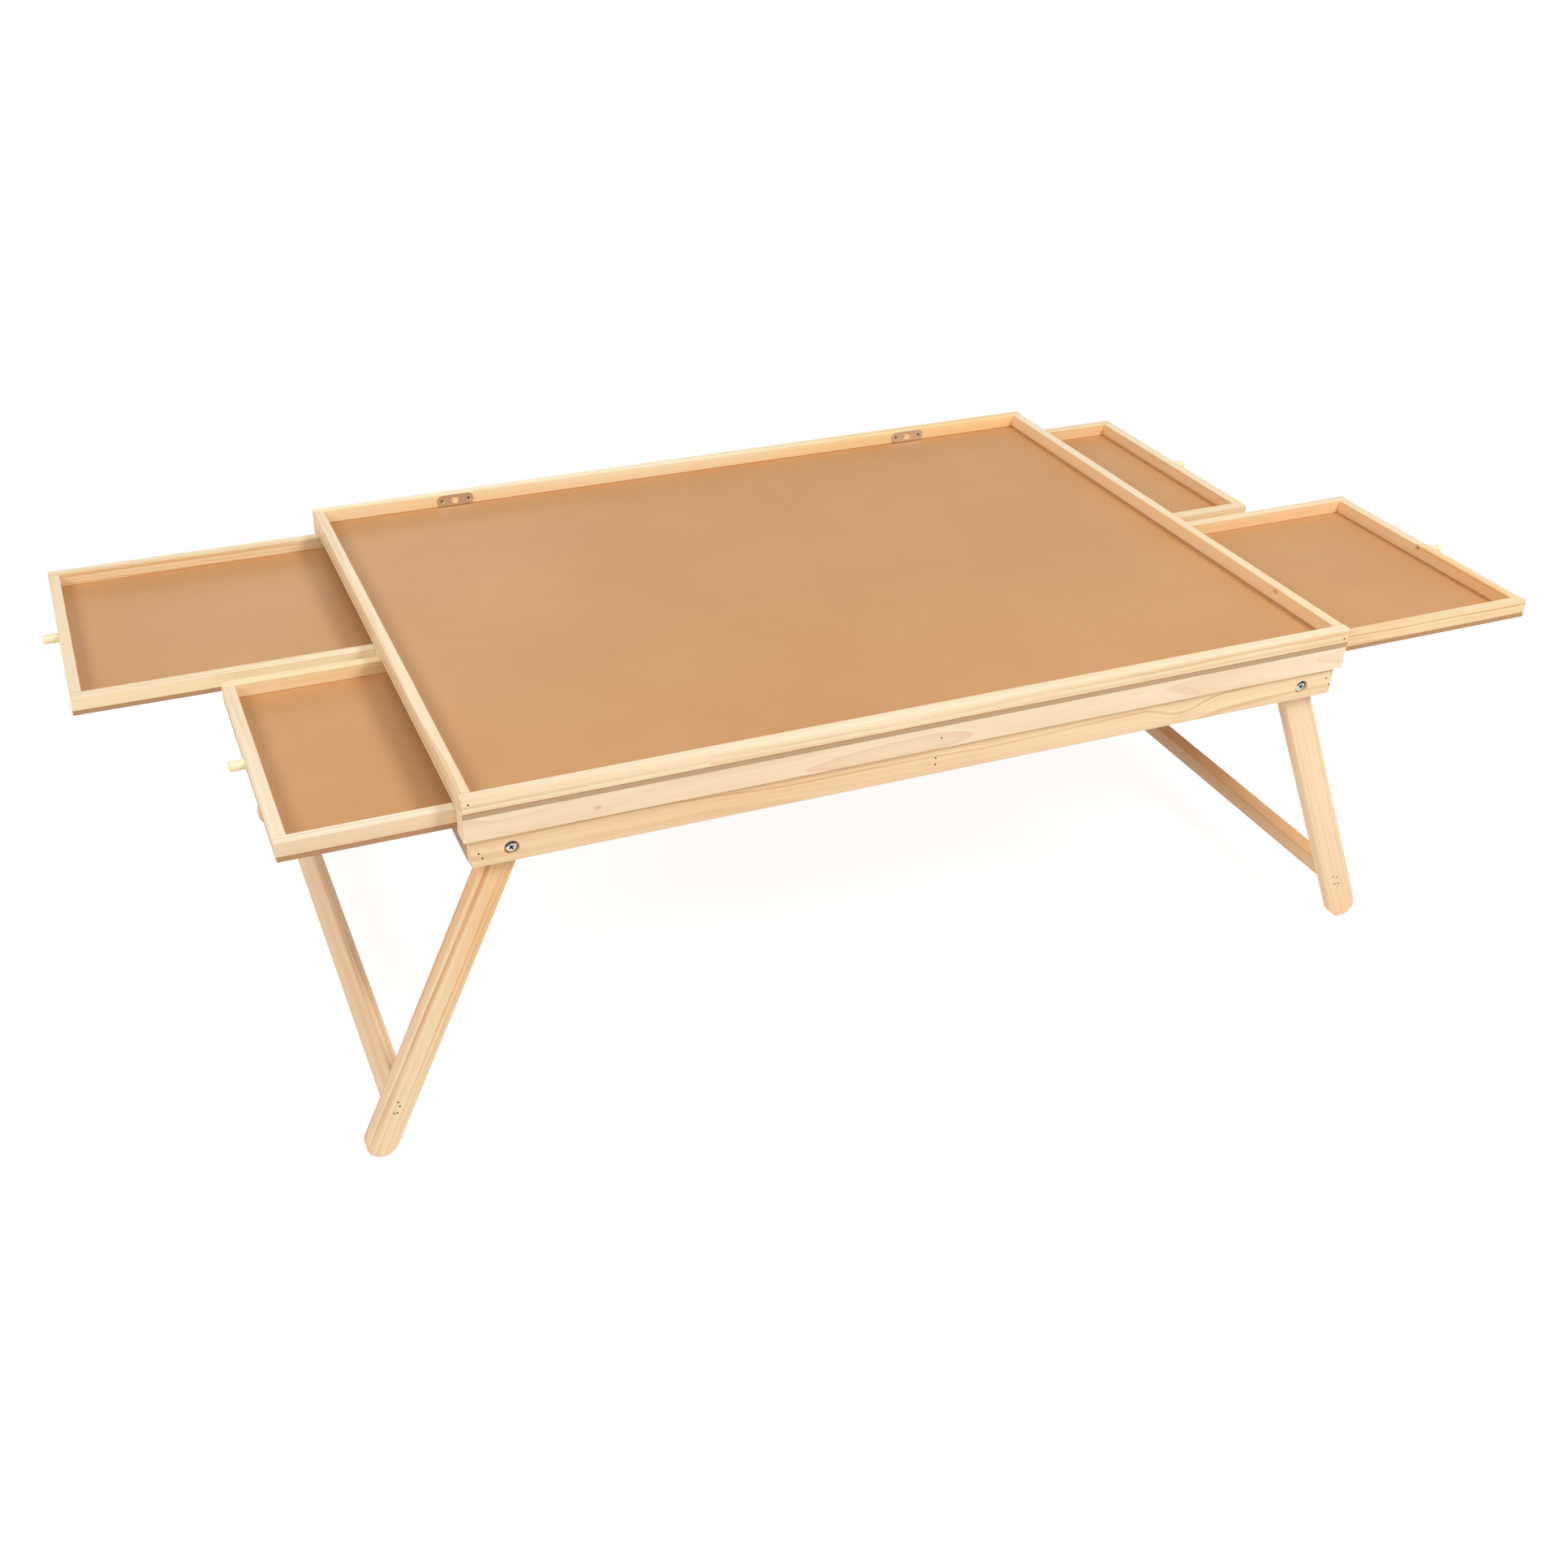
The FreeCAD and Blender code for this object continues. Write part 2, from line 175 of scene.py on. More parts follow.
def makePineGroup():
    tree = bpy.data.node_groups.new("pineGrain", "ShaderNodeTree")
    for name, kind in pineKinds.items():
        tree.interface.new_socket(name=name, in_out="INPUT", socket_type=kind)
    for name, kind in pineParts.items():
        tree.interface.new_socket(name=name, in_out="OUTPUT", socket_type=kind)
    given = addNode(tree, "NodeGroupInput").outputs
    place = given["Place"]
    detail = pineDetail

    # past a finger joint the board is another piece of timber
    along = addNode(tree, "ShaderNodeSeparateXYZ", {0: place}).outputs
    tooth = sums(tree, "PINGPONG", along[2], detail["toothPitch"] / 2)
    steep = 2 * detail["toothDepth"] / detail["toothPitch"]
    pastJoint = sums(tree, "SUBTRACT", sums(tree, "SUBTRACT", along[0], given["Splice"]),
                     sums(tree, "MULTIPLY", tooth, steep))
    isPast = sums(tree, "GREATER_THAN", pastJoint, 0.0)
    seed = sums(tree, "MULTIPLY_ADD", isPast, detail["nextTimber"], given["Seed"])
    glue = sums(tree, "ABSOLUTE", pastJoint)
    glue = ramp(tree, glue, 0.0, detail["glueLine"], detail["glueShare"], 0.0)

    # the board sways slowly about its pith line, and a knot pushes the rings aside
    wander = noiseAt(tree, place, detail["swayWaves"], seed)["Color"]
    wander = scaled(tree, vectors(tree, "SUBTRACT", wander, (0.5, 0.5, 0.5)), given["Sway"])
    fromPith = vectors(tree, "SUBTRACT", vectors(tree, "ADD", place, wander), given["Pith"])
    radius = lengthOf(tree, vectors(tree, "MULTIPLY", fromPith, (0.0, 1.0, 1.0)))
    toKnot = vectors(tree, "SUBTRACT", place, given["KnotPlace"])
    knotShare = lengthOf(tree, vectors(tree, "MULTIPLY", toKnot, detail["knotStretch"]))
    knotShare = sums(tree, "DIVIDE", knotShare, given["KnotSize"])
    swirl = ramp(tree, knotShare, 0.0, detail["swirlReach"], detail["swirlPush"], 0.0)
    swirl = sums(tree, "MULTIPLY", swirl, given["KnotSize"])

    # rings of uneven width, crowded where growth was slow
    rings = sums(tree, "DIVIDE", sums(tree, "ADD", radius, swirl), given["Ring"])
    crowd = sums(tree, "SUBTRACT", radius, given["Slow"])
    crowd = ramp(tree, crowd, -detail["slowHalf"], detail["slowHalf"], 0.0, detail["slowRings"])
    rings = sums(tree, "ADD", rings, crowd)
    pace = sums(tree, "MULTIPLY_ADD", rings, detail["ringPace"], seed)
    uneven = addNode(tree, "ShaderNodeTexNoise", {"W": pace, "Scale": 1.0, "Detail": 1.0},
                     noise_dimensions="1D").outputs[0]
    ripple = noiseAt(tree, place, detail["rippleWaves"], seed)[0]
    phase = sums(tree, "MULTIPLY_ADD", uneven, detail["ringUneven"], rings)
    phase = sums(tree, "MULTIPLY_ADD", ripple, detail["ringRipple"], phase)

    # late wood darkens towards the end of each ring, then stops sharply, and some rings are fainter
    across = sums(tree, "FRACT", phase)
    late = sums(tree, "MULTIPLY", ramp(tree, across, detail["lateStart"], detail["lateFull"]),
                ramp(tree, across, detail["lateStop"], 1.0, 1.0, 0.0))
    ringNumber = sums(tree, "ADD", sums(tree, "FLOOR", phase), seed)
    luck = addNode(tree, "ShaderNodeTexWhiteNoise", {"W": ringNumber}, noise_dimensions="1D").outputs[0]
    luck = sums(tree, "POWER", luck, detail["luckPower"])
    luck = sums(tree, "MULTIPLY_ADD", luck, detail["luckSpan"], detail["luckLeast"])
    late = sums(tree, "MULTIPLY", late, luck)
    fade = noiseAt(tree, place, detail["fadeWaves"], seed)[0]
    late = sums(tree, "MULTIPLY", late, ramp(tree, fade, *detail["fadeRange"], detail["fadeLeast"], 1.0))

    # broad tone, fine fibres and short dark flecks
    tone = noiseAt(tree, place, detail["toneWaves"], seed)[0]
    tone = sums(tree, "MULTIPLY_ADD", along[0], given["Drift"], tone)
    fibre = noiseAt(tree, place, detail["fibreWaves"], seed, detail["fibreDetail"])[0]
    fleck = noiseAt(tree, place, detail["fleckWaves"], seed, detail["fleckDetail"])[0]
    fleck = ramp(tree, fleck, *detail["fleckRange"])

    # end grain soaks up more; eased edges get a painted highlight, mixed towards the pale colour
    sides = addNode(tree, "ShaderNodeSeparateXYZ", {0: vectors(tree, "ABSOLUTE", given["Facing"])}).outputs
    endGrain = ramp(tree, sides[0], *detail["endRange"])
    flattest = sums(tree, "MAXIMUM", sums(tree, "MAXIMUM", sides[1], sides[2]), sides[0])
    edge = ramp(tree, flattest, *detail["edgeRange"])
    # painted shading: a face pointing along the given way is mixed towards the late colour
    flank = sums(tree, "MAXIMUM", dotOf(tree, given["Facing"], given["Flank"]), 0.0)

    colour = mixed(tree, ramp(tree, tone, *detail["toneRange"]), given["Pale"], given["Warm"])
    colour = mixed(tree, sums(tree, "MULTIPLY", late, given["Bold"]), colour, given["Late"])
    fibres = ramp(tree, fibre, *detail["fibreRange"], 0.0, detail["fibreShare"])
    colour = mixed(tree, fibres, colour, given["Late"])
    colour = mixed(tree, sums(tree, "MULTIPLY", fleck, detail["fleckShare"]), colour, detail["knotRim"])
    colour = mixed(tree, sums(tree, "MULTIPLY", endGrain, detail["endShare"]), colour, given["Late"])
    # painted highlight: the eased edges are mixed towards the pale colour
    colour = mixed(tree, sums(tree, "MULTIPLY", edge, detail["edgeShare"]), colour, given["Pale"])
    # the painted shading goes on here
    colour = mixed(tree, flank, colour, given["Late"])
    colour = mixed(tree, glue, colour, detail["knotRim"])

    # a knot: a ragged rim, then its dark heart
    ragged = sums(tree, "MULTIPLY_ADD", fibre, detail["knotRagged"], -detail["knotRagged"] / 2)
    knotEdge = sums(tree, "ADD", knotShare, ragged)
    knotRim = ramp(tree, knotEdge, *detail["rimRange"], 0.0, detail["rimShare"])
    colour = mixed(tree, sums(tree, "MULTIPLY", knotRim, given["KnotBold"]), colour, detail["knotRim"])
    heart = ramp(tree, knotEdge, *detail["heartRange"], 0.0, detail["heartShare"])
    colour = mixed(tree, sums(tree, "MULTIPLY", heart, given["KnotBold"]), colour, detail["knotHeart"])

    rough = sums(tree, "MULTIPLY_ADD", fibre, detail["fibreRough"], detail["rough"])
    rough = sums(tree, "MULTIPLY_ADD", late, detail["lateRough"], rough)
    rough = sums(tree, "MULTIPLY_ADD", endGrain, detail["endRough"], rough)
    height = sums(tree, "MULTIPLY", fibre, detail["fibreHeight"])
    height = sums(tree, "MULTIPLY_ADD", late, detail["lateHeight"], height)
    addNode(tree, "NodeGroupOutput", {"Colour": colour, "Roughness": rough, "Height": height})
    return tree


pineGroup = makePineGroup()
print("pine grain ready")


# Boards: every wooden node has its own cut of timber. Lengths in metres, from the board's middle

timber = {
    "pale": (252, 234, 200), "warm": (247, 220, 180), "late": (219, 163, 103),
    "ring": 0.0050, "sway": 0.014, "bold": 0.68, "splice": 9.0,
    "knotPlace": (9.0, 9.0, 9.0), "knotSize": 0.0001, "knotBold": 0.8,
    "slow": 9.0,                  # how far from the pith the rings crowd
    "drift": 0.0,                 # how fast the tone warms along the board
    "flank": (0.0, 0.0, 0.0),     # painted shading: the way that a face painted darker points, times how much darker it is
}
# the inner face of a drawer's back side is painted orange, as painted warm light
paintedWarmLightSide = {"flank": (0.0, -0.34, 0.0), "warm": (246, 210, 164), "late": (246, 186, 102)}
boardLooks = {
    "front_upper_rail": {
        "pale": (253, 236, 204), "warm": (247, 218, 178), "pith": (0.0, 0.05, 0.05), "bold": 0.6,
        "splice": -0.219,
    },
    "front_lower_rail": {
        "pale": (254, 238, 212), "warm": (250, 225, 194), "late": (224, 176, 130),
        # the drift paints the left end warmer and darker, as painted shade
        "pith": (0.0, 0.045, 0.003), "ring": 0.0026, "sway": 0.040, "bold": 0.5, "drift": -0.1,
        "knotPlace": (-0.3173, -0.010, -0.0016), "knotSize": 0.0018, "knotBold": 0.32,
    },
    "front_apron": {
        "pale": (251, 226, 190), "warm": (244, 209, 167), "late": (218, 164, 110),
        "pith": (0.0, 0.04, -0.04), "ring": 0.0040, "sway": 0.030, "bold": 0.85,
        "knotPlace": (0.257, -0.0055, -0.004), "knotSize": 0.0050, "knotBold": 0.08,
    },
    "left_front_leg": {
        "pale": (252, 228, 194), "warm": (244, 204, 152), "late": (202, 136, 78),
        "pith": (0.0, 0.012, 0.040), "ring": 0.0080, "sway": 0.006, "bold": 1.0,
        # its outer side is painted darker and more orange, as painted shade
        "slow": 0.0370, "drift": -0.8, "seed": 5.0, "flank": (0.0, 0.0, -0.25),
    },
    "right_front_leg": {
        "pale": (253, 229, 196), "warm": (249, 218, 181), "late": (218, 166, 114),
        "pith": (0.0, 0.03, 0.045), "ring": 0.0036, "bold": 0.5,
    },
    "left_stretcher": {
        # its outer face is painted darker, as painted shade
        "pale": (255, 236, 205), "warm": (250, 224, 186), "ring": 0.007, "flank": (0.0, 0.35, 0.0),
    },
    "right_stretcher": {"pale": (245, 212, 170), "warm": (232, 188, 140), "ring": 0.005, "bold": 0.8},
    # the outer face is painted dark brown, a painted shadow of the drawer above it
    "left_end_rail": {"late": (160, 120, 92), "flank": (0.0, 0.9, 0.0)},
    "right_upper_rail": {
        "pale": (255, 240, 216), "warm": (252, 230, 197), "late": (255, 190, 98),
        # its inner face is painted orange, as painted warm light bounced from the panel
        "flank": (0.0, 0.34, 0.0), "knotPlace": (-0.2129, 0.0055, 0.0035), "knotSize": 0.0018,
        "knotBold": 0.5,
    },
    "back_upper_rail": {
        "pale": (255, 246, 216), "warm": (253, 222, 166), "late": (250, 188, 102),
        # its inner face is painted a little more orange, as painted warm light
        "drift": 0.5, "flank": (0.0, -0.08, 0.0),
    },
    "front_right_drawer_face": {
        # its inner face is painted orange, as painted warm light
        "warm": (246, 210, 162), "late": (240, 176, 100), "flank": (0.0, 0.26, 0.0), "splice": 0.0019,
        "knotPlace": (0.003, 0.0055, 0.004), "knotSize": 0.0016,
    },
    "front_right_drawer_front_side": {
        "pale": (250, 226, 186), "warm": (243, 206, 158), "late": (194, 134, 78),
        "pith": (0.0, 0.008, 0.03), "bold": 1.5, "ring": 0.0042, "sway": 0.016,
    },
    "front_right_drawer_back_side": paintedWarmLightSide,
    # its inner face is painted orange, as painted warm light
    "back_right_drawer_face": {"flank": (0.0, 0.30, 0.0), "late": (240, 172, 92)},
    "back_right_drawer_back_side": paintedWarmLightSide,
    "front_left_drawer_face": {"pale": (254, 242, 214), "warm": (250, 228, 192)},
    "front_left_drawer_front_side": {
        "pale": (254, 242, 214), "warm": (249, 224, 184), "late": (222, 162, 104),
        # the drift paints the end by the table warmer and darker as painted shade, and the front face is
        # painted darker as painted shade
        "drift": 0.9, "flank": (0.0, -0.36, 0.0),
    },
    "front_left_drawer_back_side": {
        "pale": (254, 240, 204), "warm": (253, 224, 172), "late": (244, 184, 102),
        # its inner face is painted orange, as painted warm light
        "bold": 0.9, "ring": 0.0040, "flank": (0.0, -0.14, 0.0),
    },
    "back_left_drawer_front_side": {
        "pale": (254, 242, 212), "warm": (252, 226, 186), "late": (218, 160, 98),
        "pith": (0.0, 0.02, 0.030), "bold": 0.75, "ring": 0.0042,
    },
    "back_left_drawer_back_side": {
        "pale": (254, 242, 208), "warm": (251, 222, 172), "late": (216, 152, 82),
        # its inner face is painted a touch darker and warmer, as painted shade
        "bold": 1.0, "ring": 0.0040, "sway": 0.005, "flank": (0.0, -0.04, 0.0),
    },
}
knobWood = {
    "pale": (250, 241, 205), "warm": (245, 231, 184), "late": (226, 202, 146),
    "ring": 0.0016, "sway": 0.004, "bold": 0.40,
}
boardSet = {
    "words": ("_rail", "_apron", "_divider", "_leg", "_stretcher", "_face", "_back", "_side"),
    "cutting": 41, "seedReach": 60.0,
    "pithReach": (0.03, 0.11),    # how far outside its board the pith line may lie
    "bumpStrength": 0.4, "bumpDepth": 0.0003, "specular": 0.35,
    "weld": 1e-5, "splitAngle": 50, "normalWeight": 80,
}


def legStance(name):
    # a leg's pivot, and how far it leans from upright
    low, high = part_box(name)
    body = name.split("_")[0] + "_leg_frame"
    pivot = next(joint for joint in frame["joints"] if joint["child"] == body)["pos_m"]
    width = 2 * (high.z - pivot[2])
    return pivot, math.atan2(high.x - low.x - width, high.z - low.z - width)


def grainTurn(name, size):
    # the turn that brings a board's grain onto X
    if name.endswith("_leg"):
        lean = legStance(name)[1] * (-1 if name.startswith("left") else 1)
        return Euler((0.0, lean - math.pi / 2, 0.0))
    return Euler((0.0, 0.0, -math.pi / 2 if size.y > size.x else 0.0))


def pineMaterial(name, look):
    low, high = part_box(name)
    turn = grainTurn(name, high - low)
    centre = turn.to_matrix() @ ((low + high) / 2)
    material, tree, shader = newMaterial("pine_" + name)
    coords = addNode(tree, "ShaderNodeTexCoord").outputs
    place = {"Vector": coords["Object"], "Rotation": turn, "Location": -centre}
    facing = {"Vector": coords["Normal"], "Rotation": turn}
    inputs = {key[0].upper() + key[1:]: value for key, value in look.items()}
    for key in ("Pale", "Warm", "Late"):
        inputs[key] = shade(*inputs[key])
    inputs["Place"] = addNode(tree, "ShaderNodeMapping", place).outputs[0]
    inputs["Facing"] = addNode(tree, "ShaderNodeMapping", facing, vector_type="NORMAL").outputs[0]
    grain = addNode(tree, "ShaderNodeGroup", inputs, node_tree=pineGroup).outputs
    bump = bumpOf(tree, grain["Height"], boardSet["bumpStrength"], boardSet["bumpDepth"])
    setShader(tree, shader, BaseColor=grain["Colour"], Roughness=grain["Roughness"], Normal=bump,
              SpecularIORLevel=boardSet["specular"])
    return material


def softenEdges(name):
    # one smooth skin over the eased edges, with the square corners and broad faces kept crisp
    part = nodes[name]
    part.data.shade_smooth()
    weld = part.modifiers.new("weld", "WELD")
    weld.merge_threshold = boardSet["weld"]
    split = part.modifiers.new("split", "EDGE_SPLIT")
    split.split_angle = math.radians(boardSet["splitAngle"])
    split.use_edge_sharp = False
    weighted = part.modifiers.new("weighted", "WEIGHTED_NORMAL")
    weighted.weight = boardSet["normalWeight"]


boards = [name for name in sorted(nodes) if name.endswith(boardSet["words"])]
knobs = [name for name in sorted(nodes) if name.endswith("_knob")]
cutting = random.Random(boardSet["cutting"])
for name in boards + knobs:
    reach = cutting.uniform(*boardSet["pithReach"])
    angle = cutting.uniform(0.0, 2 * math.pi)
    seed = cutting.uniform(0.0, boardSet["seedReach"])
    pith = (0.0, reach * math.cos(angle), reach * math.sin(angle))
    ownLook = knobWood if name in knobs else boardLooks.get(name, {})
    paint(name, pineMaterial(name, {**timber, "pith": pith, "seed": seed, **ownLook}))
    softenEdges(name)
print("boards:", len(boards), "knobs:", len(knobs))


# Hardboard: the work panel and the drawer bottoms

hardboardTints = {"face": (209, 158, 108), "cloud": (204, 152, 102), "fleck": (168, 116, 70)}
hardboardSet = {
    "panel": {**hardboardTints, "edge": (192, 165, 135), "end": (250, 226, 188)},
    "bottom": {**hardboardTints, "edge": (182, 144, 109), "end": (204, 160, 114)},
    "cloud": ((7.0,) * 3, 3.0, 4.0),          # waves per metre, seed and detail of each noise
    "mottle": ((240.0,) * 3, 5.0, 4.0),
    "fleck": ((900.0,) * 3, 8.0, 2.0),
    "cloudRange": (0.3, 0.7), "mottleRange": (0.4, 0.7), "fleckRange": (0.64, 0.80),
    "edgeRange": (0.35, 0.7), "sideRange": (0.5, 0.9), "uprightRange": (0.9, 0.5),
    "mottleShare": 0.06, "fleckShare": 0.16, "edgeShare": 0.3, "endShare": 0.2,
    "rough": 0.34, "mottleRough": 0.16, "edgeRough": 0.3, "specular": 0.2,
    "fleckHeight": 0.4, "bumpStrength": 0.12, "bumpDepth": 0.00012,
}


def hardboardMaterial(name, tints):
    material, tree, shader = newMaterial("hardboard_" + name)
    coords = addNode(tree, "ShaderNodeTexCoord").outputs
    look = hardboardSet
    tint = {key: shade(*value) for key, value in tints.items()}
    cloud = noiseAt(tree, coords["Object"], *look["cloud"])[0]
    mottle = noiseAt(tree, coords["Object"], *look["mottle"])[0]
    fleck = noiseAt(tree, coords["Object"], *look["fleck"])[0]
    colour = mixed(tree, ramp(tree, cloud, *look["cloudRange"]), tint["face"], tint["cloud"])
    mottled = ramp(tree, mottle, *look["mottleRange"], 0.0, look["mottleShare"])
    colour = mixed(tree, mottled, colour, tint["fleck"])
    flecked = ramp(tree, fleck, *look["fleckRange"], 0.0, look["fleckShare"])
    colour = mixed(tree, flecked, colour, tint["fleck"])
    edgeMottle = ramp(tree, mottle, *look["edgeRange"], 0.0, look["edgeShare"])
    edgeColour = mixed(tree, edgeMottle, tint["edge"], colour)
    endMottle = ramp(tree, mottle, *look["edgeRange"], 0.0, look["endShare"])
    endColour = mixed(tree, endMottle, tint["end"], edgeColour)
    sides = addNode(tree, "ShaderNodeSeparateXYZ", {0: vectors(tree, "ABSOLUTE", coords["Normal"])}).outputs
    colour = mixed(tree, ramp(tree, sides[1], *look["sideRange"]), colour, edgeColour)
    colour = mixed(tree, ramp(tree, sides[0], *look["sideRange"]), colour, endColour)
    rough = sums(tree, "MULTIPLY_ADD", mottle, look["mottleRough"], look["rough"])
    upright = ramp(tree, sides[2], *look["uprightRange"])
    rough = sums(tree, "MULTIPLY_ADD", upright, look["edgeRough"], rough)
    height = sums(tree, "MULTIPLY_ADD", fleck, look["fleckHeight"], mottle)
    bump = bumpOf(tree, height, look["bumpStrength"], look["bumpDepth"])
    setShader(tree, shader, BaseColor=colour, Roughness=rough, Normal=bump,
              SpecularIORLevel=look["specular"])
    return material


for name in sorted(nodes):
    if name.endswith(("_bottom", "_panel")):
        paint(name, hardboardMaterial(name, hardboardSet[name.split("_")[-1]]))
print("hardboard ready")


# Metal: bright zinc on bolts, nuts and screws, polished nickel on the strike plates

zincSet = {
    "bright": (226, 226, 224), "dull": (184, 184, 182), "rough": (0.16, 0.32), "waves": (420.0,) * 3,
}
# shadeFrom and shadeTint give the bolt heads a painted dark reflection on one side of the dome
boltHeadSet = {**zincSet, "shadeFrom": (-0.25, -0.30, 0.92), "shadeTint": (34, 36, 40)}
# the cross recesses are painted dark zinc, as painted shade in the recess
recessPaintedShadeSet = {**zincSet, "bright": (70, 74, 78), "dull": (38, 40, 42), "rough": (0.4, 0.6)}
strikeSet = {
    "bright": (240, 236, 228), "dull": (224, 219, 210), "rough": (0.10, 0.20),
    "waves": (90.0, 500.0, 900.0),
}
metalDetail = {
    "smearSeed": 2.0, "smearDetail": 4.0, "grit": ((3000.0,) * 3, 6.0, 2.0),
    "dullRange": (0.35, 0.7), "roughRange": (0.3, 0.7), "shadeRange": (0.34, 0.60), "shadeShare": 0.92,
    "bumpStrength": 0.15, "bumpDepth": 0.00005,
}


def metalMaterial(name, tints):
    material, tree, shader = newMaterial(name)
    coords = addNode(tree, "ShaderNodeTexCoord").outputs
    detail = metalDetail
    smear = noiseAt(tree, coords["Object"], tints["waves"], detail["smearSeed"], detail["smearDetail"])[0]
    grit = noiseAt(tree, coords["Object"], *detail["grit"])[0]
    dull = ramp(tree, smear, *detail["dullRange"])
    colour = mixed(tree, dull, shade(*tints["bright"]), shade(*tints["dull"]))
    if "shadeFrom" in tints:      # painted reflection: the side of a polished dome that would mirror the dark end of the studio is painted dark
        facing = dotOf(tree, coords["Normal"], tints["shadeFrom"])
        dark = ramp(tree, facing, *detail["shadeRange"], 0.0, detail["shadeShare"])
        colour = mixed(tree, dark, colour, shade(*tints["shadeTint"]))
    rough = ramp(tree, smear, *detail["roughRange"], *tints["rough"])
    bump = bumpOf(tree, grit, detail["bumpStrength"], detail["bumpDepth"])
    setShader(tree, shader, BaseColor=colour, Roughness=rough, Normal=bump, Metallic=1.0)
    return material


zinc = metalMaterial("brightZinc", zincSet)
boltZinc = metalMaterial("boltZinc", boltHeadSet)
recessPaintedShadeZinc = metalMaterial("recessPaintedShadeZinc", recessPaintedShadeSet)
for name in ("pivot_bolts", "pivot_washers", "pivot_nuts", "strike_plate_screws"):
    paint(name, zinc)
paint("strike_plates", metalMaterial("polishedNickel", strikeSet))
print("metal ready")


# Turned pieces: bolts, plate screws and brad heads

turnedSet = {"steps": 40, "sharpAngle": 40}


def lathe(profile, steps=turnedSet["steps"]):
    # spins (radius, height) points round Z into a closed skin
    skin = bmesh.new()
    rings = []
    turns = [2 * math.pi * step / steps for step in range(steps)]
    for radius, height in profile:
        if radius == 0.0:
            rings.append([skin.verts.new((0.0, 0.0, height))] * steps)
            continue
        circle = [(radius * math.cos(turn), radius * math.sin(turn), height) for turn in turns]
        rings.append([skin.verts.new(point) for point in circle])
    for lower, upper in zip(rings, rings[1:]):
        for step in range(steps):
            after = (step + 1) % steps
            corners = [lower[step], lower[after], upper[after], upper[step]]
            skin.faces.new(list(dict.fromkeys(corners)))
    bmesh.ops.recalc_face_normals(skin, faces=skin.faces)
    mesh = bpy.data.meshes.new("turned")
    skin.to_mesh(mesh)
    skin.free()
    return mesh


recessShape = {               # shares of the recess's own depth, length and width
    "over": 0.3, "tipLength": 0.16, "tipWidth": 0.3, "lowest": 1.1, "highest": 0.1,
}


def crossBlade(top, depth, length, width):
    # one tapered arm of a cross recess, its open end just above the head
    blade = bmesh.new()
    tip = (top - depth, length * recessShape["tipLength"], width * recessShape["tipWidth"])
    mouth = (top + depth * recessShape["over"], length / 2, width / 2)
    corners = []
    for z, halfLength, halfWidth in (tip, mouth):
        for x, y in ((-1, -1), (1, -1), (1, 1), (-1, 1)):
            corners.append(blade.verts.new((x * halfLength, y * halfWidth, z)))
    for loop in ((3, 2, 1, 0), (4, 5, 6, 7), (0, 1, 5, 4), (1, 2, 6, 5), (2, 3, 7, 6), (3, 0, 4, 7)):
        blade.faces.new([corners[i] for i in loop])
    mesh = bpy.data.meshes.new("blade")
    blade.to_mesh(mesh)
    blade.free()
    return mesh


def crossCut(mesh, top, depth, length, width):
    # cuts both arms of the recess, and gives the finished mesh
    part = bpy.data.objects.new("cutPart", mesh)
    blades = []
    for quarter in range(2):
        blade = bpy.data.objects.new("cutBlade", crossBlade(top, depth, length, width))
        blade.rotation_euler.z = quarter * math.pi / 2
        blades.append(blade)
        cut = part.modifiers.new("cut", "BOOLEAN")
        cut.object = blade
        cut.solver = "EXACT"
    for item in [part] + blades:
        bpy.context.scene.collection.objects.link(item)
    evaluated = part.evaluated_get(bpy.context.evaluated_depsgraph_get())
    finished = bpy.data.meshes.new_from_object(evaluated)
    for item in [part] + blades:
        bpy.data.objects.remove(item)
    lowest, highest = (top - recessShape[key] * depth for key in ("lowest", "highest"))
    for face in finished.polygons:      # the recess gets the second material, painted dark as painted shade
        sunk = lowest < face.center.z < highest
        face.material_index = int(sunk and face.center.xy.length < length / 2)
    return finished


def gather(name, mesh, places, *materials):
    # one piece made of copies of a mesh, each at its own placing
    group = bmesh.new()
    for placing in places:
        before = len(group.verts)
        group.from_mesh(mesh)
        group.verts.ensure_lookup_table()
        bmesh.ops.transform(group, matrix=placing, verts=group.verts[before:])
    joined = bpy.data.meshes.new(name)
    group.to_mesh(joined)
    group.free()
    joined.shade_smooth()
    joined.set_sharp_from_angle(angle=math.radians(turnedSet["sharpAngle"]))
    for material in materials:
        joined.materials.append(material)
    piece = bpy.data.objects.new(name, joined)
    bpy.context.scene.collection.objects.link(piece)
    return piece


def outwards(x, y, z, side, twist=0.0):
    # a placing with the piece's top turned to the front (-1) or the back (1)
    turn = Matrix.Rotation(-side * math.pi / 2, 4, "X") @ Matrix.Rotation(twist, 4, "Z")
    return Matrix.Translation((x, y, z)) @ turn


boltSet = {
    "headHeight": 0.0036, "rimHeight": 0.0012, "crownShare": 0.42, "domeSteps": 6,
    "shank": 0.0030, "thread": 0.0027, "pitch": 0.0010, "crest": 0.4, "threadLength": 0.0090,
    "runOut": 0.0004, "tail": 0.0065,
    "recess": (0.0019, 0.0060, 0.0016),       # depth, length and width
    "twists": (0.5, 1.2, 0.2, 0.9),
}


